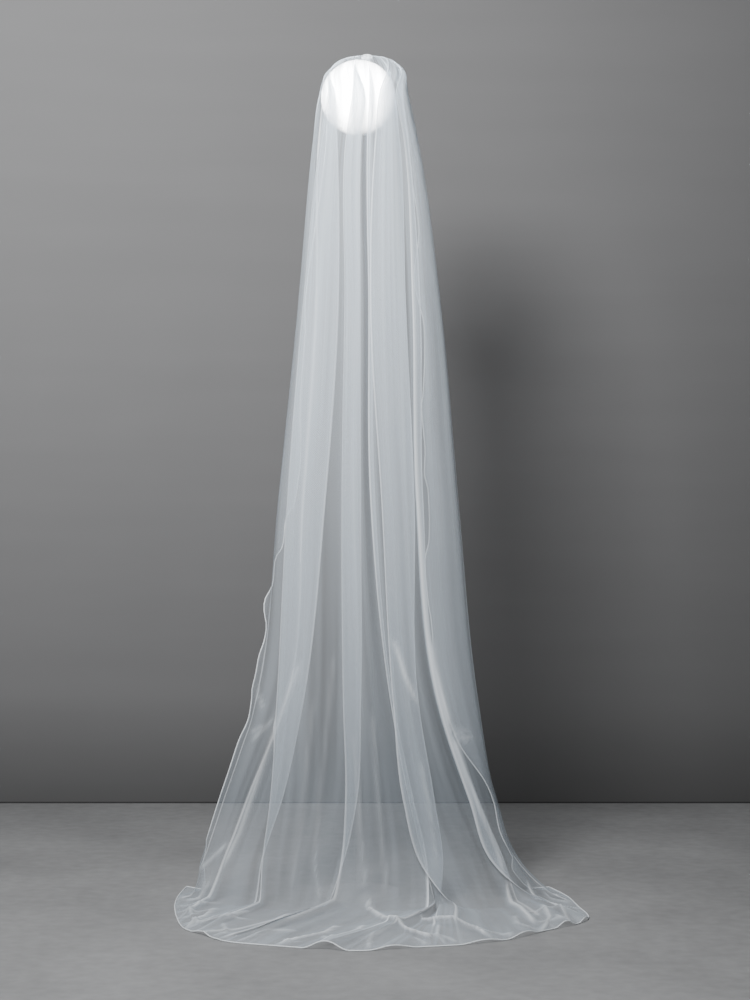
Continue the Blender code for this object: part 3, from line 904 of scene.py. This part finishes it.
def makeBall(values):
    shape = bmesh.new()
    bmesh.ops.create_uvsphere(shape, u_segments=values["sides"], v_segments=values["rings"],
                              radius=headRadius)
    worn = Vector(values["worn"]).normalized()
    for vert in shape.verts:
        face = vert.co.normalized()
        near = ease((face.dot(worn) - values["wornFrom"]) / values["wornFade"])
        dent = abs(noise.noise(vert.co / values["dentSize"]))
        dent += 0.5 * abs(noise.noise(vert.co * 2.1 / values["dentSize"]))
        swell = values["swell"] * (0.5 + noise.noise(vert.co / values["swellSize"]))
        sink = values["dent"] * dent * near + swell
        vert.co = headCentre + vert.co - face * sink
    return finished("wornBall", shape)


def makeBallFinish(values):
    material, wire, surface = newFinish("ballFoam", values["colour"], Roughness=0.6)
    place = overObject(wire)
    marks = place.clouds(values["greyMarkSize"], 4.0)
    greyMarked = (marks - values["greyMarkFrom"]).most(0.0) * values["greyMarkShow"]
    shade = greyMarked.least(1.0).blend(solidColour(values["colour"]), solidColour(values["markGrey"]))
    wire.put(surface.inputs["Base Color"], shade)
    wire.put(surface.inputs["Normal"], place.clouds(values["grain"], 3.0).bump(values["rise"]))
    return material


wornBall = makeBall(ball)
wornBall.data.materials.append(makeBallFinish(ball))
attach(wornBall, "root")
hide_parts("head_form")
print("ball shaped")


# Clear stand: the rod and foot keep their solids
stand = {
    "colour": (0.90, 0.92, 0.93),
    "sheer": 0.025,         # how much of it is seen square on, and along its rims
    "rim": 0.10,
    "haze": 0.05,           # size of faint hazy patches
}


def makeClearFinish(values):
    material, wire, surface = newFinish("clearStand", values["colour"], Roughness=0.05)
    haze = overObject(wire).clouds(values["haze"], 3.0)
    facing = wire.add("ShaderNodeLayerWeight", {}, {}, 1)
    seen = (facing ** 3.0) * values["rim"] + values["sheer"] * (0.7 + haze * 0.6)
    wire.put(surface.inputs["Alpha"], seen)
    return material


clearFinish = makeClearFinish(stand)
for node in ("stand_pole", "stand_foot"):
    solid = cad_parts[node]
    solid.data.materials.clear()
    solid.data.materials.append(clearFinish)
print("stand cleared")


# Studio: pale floor, grey wall with painted light and shade, and soft light from the upper left
studio = {
    "floor": (0.238, 0.240, 0.243),
    "patchy": 0.34,         # how far the floor's shade varies, how fast, and the sizes that it varies in
    "contrast": 1.6,
    "patch": 0.35,
    "grit": 0.03,
    "wall": 0.116,          # shade at the middle of its foot
    "tint": (1.0, 1.0, 1.015),
    "paintedLightUp": 0.047,         # painted light that pales it for each metre upwards, and painted shade that darkens it rightwards
    "paintedShadeRight": 0.036,
    "darkest": 0.05,
    "palest": 0.3,
    "paintedFootShade": 0.30,      # height over which painted shade darkens it near the floor
    "paintedRippleSize": 0.09,         # height of the painted light and shade of its faint ripples, and size of its faint patches
    "smudge": 0.5,
    "gap": 0.005,           # dark joint between wall and floor
    "wallY": 1.27,
    "level": -0.0003,       # just under the part
    "reach": 7.0,
    "tall": 4.6,
}


def flatPlane(name, corners):
    shape = bmesh.new()
    shape.faces.new([shape.verts.new(corner) for corner in corners])
    return finished(name, shape, smooth=False)


def makeStudio(values):
    reach, back, low, top = (values[name] for name in ("reach", "wallY", "level", "tall"))
    floor = flatPlane("studioFloor", ((-reach, -reach, low), (reach, -reach, low),
                                      (reach, reach, low), (-reach, reach, low)))
    material, wire, surface = newFinish("studioFloorPaint", values["floor"], Roughness=0.7)
    place = overObject(wire)
    grain = place.clouds(values["patch"], 6.0) * 0.6 + place.clouds(values["grit"], 5.0) * 0.4
    grain = (grain - 0.5) * values["contrast"] + 0.5
    shade = grain.blend(solidColour(values["floor"], 1 - values["patchy"]),
                        solidColour(values["floor"], 1 + values["patchy"]))
    wire.put(surface.inputs["Base Color"], shade)
    floor.data.materials.append(material)
    wall = flatPlane("studioWall", ((-reach, back, low), (reach, back, low),
                                    (reach, back, top), (-reach, back, top)))
    material, wire, surface = newFinish("studioWallPaper", values["tint"], Roughness=0.9)
    place = overObject(wire)
    x, z = place.part("X"), place.part("Z")
    # Painted light and shade: paler upwards, darker rightwards and near the floor, with painted ripples; a
    # dark joint at the floor
    shade = values["wall"] + z * values["paintedLightUp"] - x * (z * 0.4 + 0.55) * values["paintedShadeRight"]
    shade = shade.most(values["darkest"]).least(values["palest"])
    shade = shade * (z * (0.4 / values["paintedFootShade"]) + 0.6).least(1.0) * (z / values["gap"]).least(1.0)
    paintedRippleShade = place.clouds(values["paintedRippleSize"], 2.0, (0.12, 1.0, 1.0)) * 0.10
    shade = shade * (0.90 + paintedRippleShade + place.clouds(values["smudge"], 3.0) * 0.1)
    wire.put(surface.inputs["Base Color"], shade.blend((0.0, 0.0, 0.0, 1.0), solidColour(values["tint"])))
    behind = wire.add("ShaderNodeNewGeometry", {}, {}, 6)   # the wall isn't seen from behind
    wire.put(surface.inputs["Alpha"], 1.0 - behind)
    wall.data.materials.append(material)


def softLight(name, place, aim, size, power):
    data = bpy.data.lights.new(name, "AREA")
    data.shape = "DISK"
    data.size = size
    data.energy = power
    lamp = bpy.data.objects.new(name, data)
    lamp.location = place
    lamp.rotation_euler = (Vector(aim) - Vector(place)).to_track_quat("-Z", "Y").to_euler()
    bpy.context.scene.collection.objects.link(lamp)
    return lamp


# Lights: name, place, aim, size, power
lights = (
    ("keyLight", (-0.50, -1.90, 2.22), (-0.16, 0.6, 1.60), 0.68, 131.0),
    ("ballLight", (-0.35, -2.4, 1.75), (0.0, 0.0, 1.71), 0.60, 2200.0),
    ("fillLight", (1.4, -4.6, 1.4), (0.0, 0.0, 0.9), 1.8, 5.0),
    ("sideLight", (-2.4, -0.4, 2.3), (0.0, 0.0, 1.2), 1.0, 9.0),
)
air = {"colour": (0.55, 0.57, 0.60), "strength": 0.10}
makeStudio(studio)
lamps = {values[0]: softLight(*values) for values in lights}
onBall = bpy.data.collections.new("litByBallLight")   # this light shows on the ball alone
onBall.objects.link(wornBall)
lamps["ballLight"].light_linking.receiver_collection = onBall
world = bpy.data.worlds.new("studioAir")
world.use_nodes = True
background = world.node_tree.nodes["Background"]
background.inputs["Color"].default_value = solidColour(air["colour"])
background.inputs["Strength"].default_value = air["strength"]
bpy.context.scene.world = world
print("studio lit")
